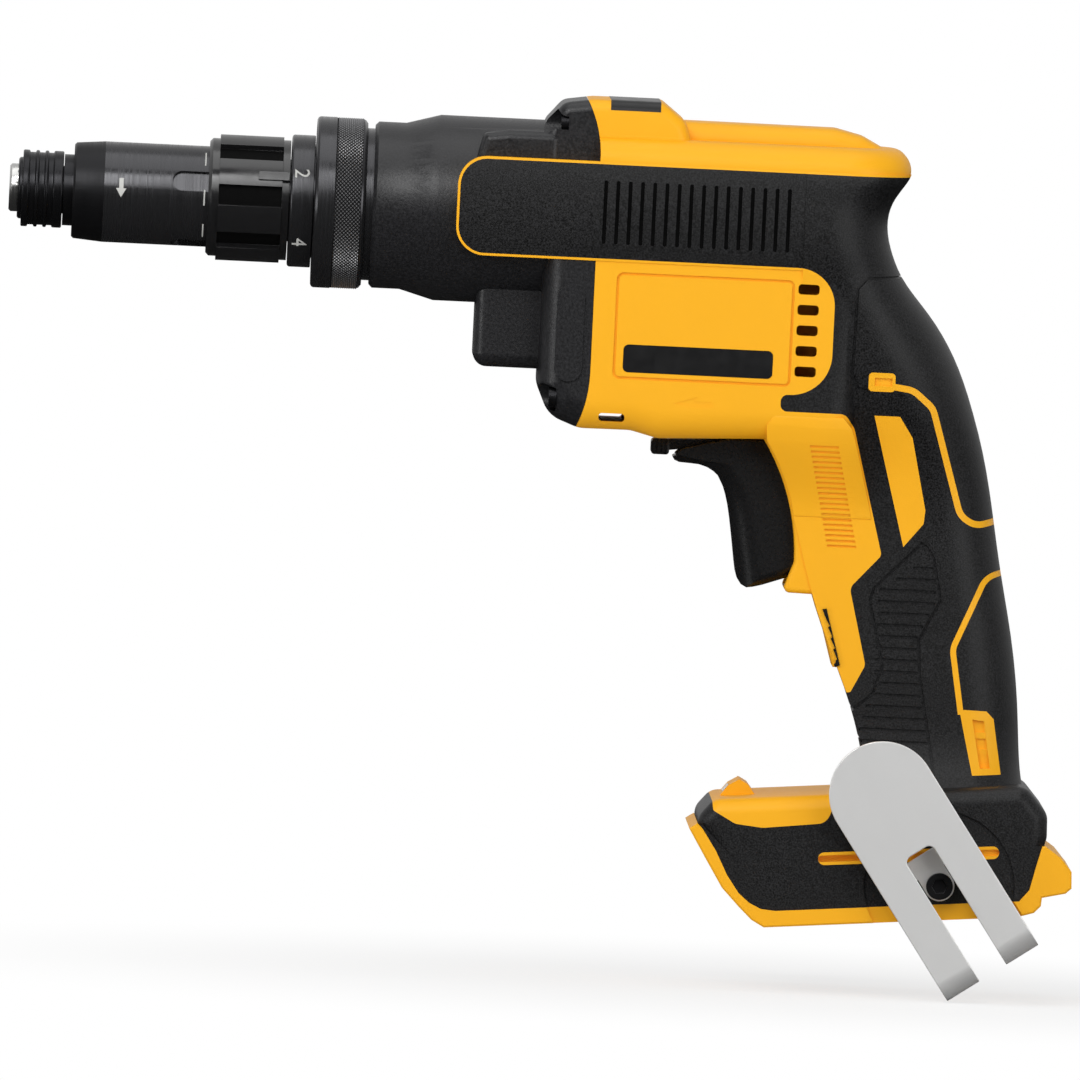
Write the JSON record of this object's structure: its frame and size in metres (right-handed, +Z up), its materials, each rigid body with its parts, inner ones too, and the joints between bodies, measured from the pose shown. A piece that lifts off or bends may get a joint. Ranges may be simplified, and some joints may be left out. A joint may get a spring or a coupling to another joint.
{
  "type": "cordless screwdriver",
  "caption": "Pistol-grip cordless screwdriver with a quick-change hex bit chuck, adjustable clutch nose, trigger, reversing lever, work light and belt hook, without a battery.",
  "frame": {"origin": "centre of the bit socket's mouth, on the spindle axis", "axes": "+X along the spindle from the mouth to the back of the tool, +Y to the right side, +Z up"},
  "size_m": [0.3187, 0.0862, 0.257],
  "materials": {
    "yellow_plastic": "satin moulded",
    "soft_black": "fine moulded grain",
    "black_case": "fine black grain",
    "black_plastic": "fine grain",
    "black_anodised": "black anodised",
    "gloss_black": "glossy",
    "black_steel": "black oxide",
    "steel": "bright",
    "hook_steel": "plain bright sheet",
    "cast_plate": "cast",
    "brass": "plain",
    "copper": "enamelled wire",
    "circuit": "circuit board",
    "lens": "clear",
    "emitter": "light emitter",
    "lead_red": "insulation"
  },
  "bodies": {
    "body": {"left_housing": "yellow_plastic", "right_housing": "yellow_plastic", "left_overmould": "soft_black", "right_overmould": "soft_black", "housing_screws": "black_steel", "rating_plates": "black_plastic", "gear_case": "black_case", "gear_case_screws": "black_steel", "motor_plate": "cast_plate", "rear_bush": "brass", "front_bearing": "steel", "middle_bearing": "steel", "rear_bearing": "steel", "number_ring": "black_anodised", "nose_tube": "black_anodised", "front_bush": "brass", "return_spring": "steel", "clutch_spring": "steel", "stator_core": "steel", "stator_coils": "copper", "sensor_board": "circuit", "switch_module": "black_plastic", "trigger_spring": "steel", "terminal_block": "black_plastic", "battery_contacts": "brass", "control_module": "black_plastic", "control_board": "circuit", "light_housing": "yellow_plastic", "light_lens": "lens", "light_emitter": "emitter", "motor_leads": "lead_red", "battery_leads": "lead_red", "belt_hook": "hook_steel", "belt_hook_screw": "black_steel", "hook_inserts": "brass"},
    "carriage": {"thrust_washer": "steel"},
    "spindle": {"spindle": "steel", "chuck_core": "steel", "chuck_clip": "steel", "bit_balls": "steel", "clutch_cam": "steel", "chuck_spring": "steel"},
    "chuck_sleeve": {"chuck_sleeve": "black_steel"},
    "torque_sleeve": {"torque_sleeve": "black_anodised", "collar_clip": "steel", "collar_spring": "steel"},
    "lock_collar": {"lock_collar": "gloss_black"},
    "knurled_ring": {"knurled_ring": "black_anodised"},
    "gear": {"output_gear": "steel", "gear_spacer": "steel"},
    "rotor": {"motor_shaft": "steel", "motor_pinion": "steel", "rotor_core": "steel", "rotor_magnets": "steel", "fan": "black_plastic"},
    "trigger": {"trigger": "black_plastic"},
    "lever": {"reversing_lever": "black_plastic"}
  },
  "joints": [
    {"name": "spindle_push", "type": "slide", "parent": "body", "child": "carriage", "axis": [1, 0, 0], "range_m": [0, 0.0025], "stiffness_N_per_m": 4000, "springref_m": -0.001, "deforming": ["return_spring", "clutch_spring"]},
    {"name": "spindle_spin", "type": "hinge", "parent": "carriage", "child": "spindle", "pos_m": [0, 0, 0], "axis": [1, 0, 0], "continuous": true},
    {"name": "chuck_sleeve_slide", "type": "slide", "parent": "spindle", "child": "chuck_sleeve", "axis": [-1, 0, 0], "range_m": [0, 0.003], "stiffness_N_per_m": 2000, "springref_m": -0.001, "deforming": ["chuck_spring"]},
    {"name": "gear_spin", "type": "hinge", "parent": "body", "child": "gear", "pos_m": [0.15, 0, 0], "axis": [1, 0, 0], "continuous": true},
    {"name": "rotor_spin", "type": "hinge", "parent": "body", "child": "rotor", "pos_m": [0.19, 0, -0.03], "axis": [1, 0, 0], "continuous": true},
    {"name": "torque_sleeve_turn", "type": "hinge", "parent": "body", "child": "torque_sleeve", "pos_m": [0.05, 0, 0], "axis": [1, 0, 0], "range_deg": [0, 270]},
    {"name": "lock_collar_slide", "type": "slide", "parent": "torque_sleeve", "child": "lock_collar", "axis": [-1, 0, 0], "range_m": [0, 0.006], "stiffness_N_per_m": 1200, "springref_m": -0.001, "deforming": ["collar_spring"]},
    {"name": "knurled_ring_turn", "type": "hinge", "parent": "body", "child": "knurled_ring", "pos_m": [0.096, 0, 0], "axis": [1, 0, 0], "range_deg": [0, 90]},
    {"name": "trigger_pull", "type": "slide", "parent": "body", "child": "trigger", "axis": [1, 0, 0], "range_m": [0, 0.006], "stiffness_N_per_m": 1500, "springref_m": -0.001, "deforming": ["trigger_spring"]},
    {"name": "reversing_lever_swing", "type": "hinge", "parent": "body", "child": "lever", "pos_m": [0.226, 0, -0.0636], "axis": [0, 0, 1], "range_deg": [-8, 8]}
  ],
  "couplings": [
    {"joint": "gear_spin", "follows": "spindle_spin", "ratio": 1},
    {"joint": "rotor_spin", "follows": "spindle_spin", "ratio": -3.6154}
  ]
}
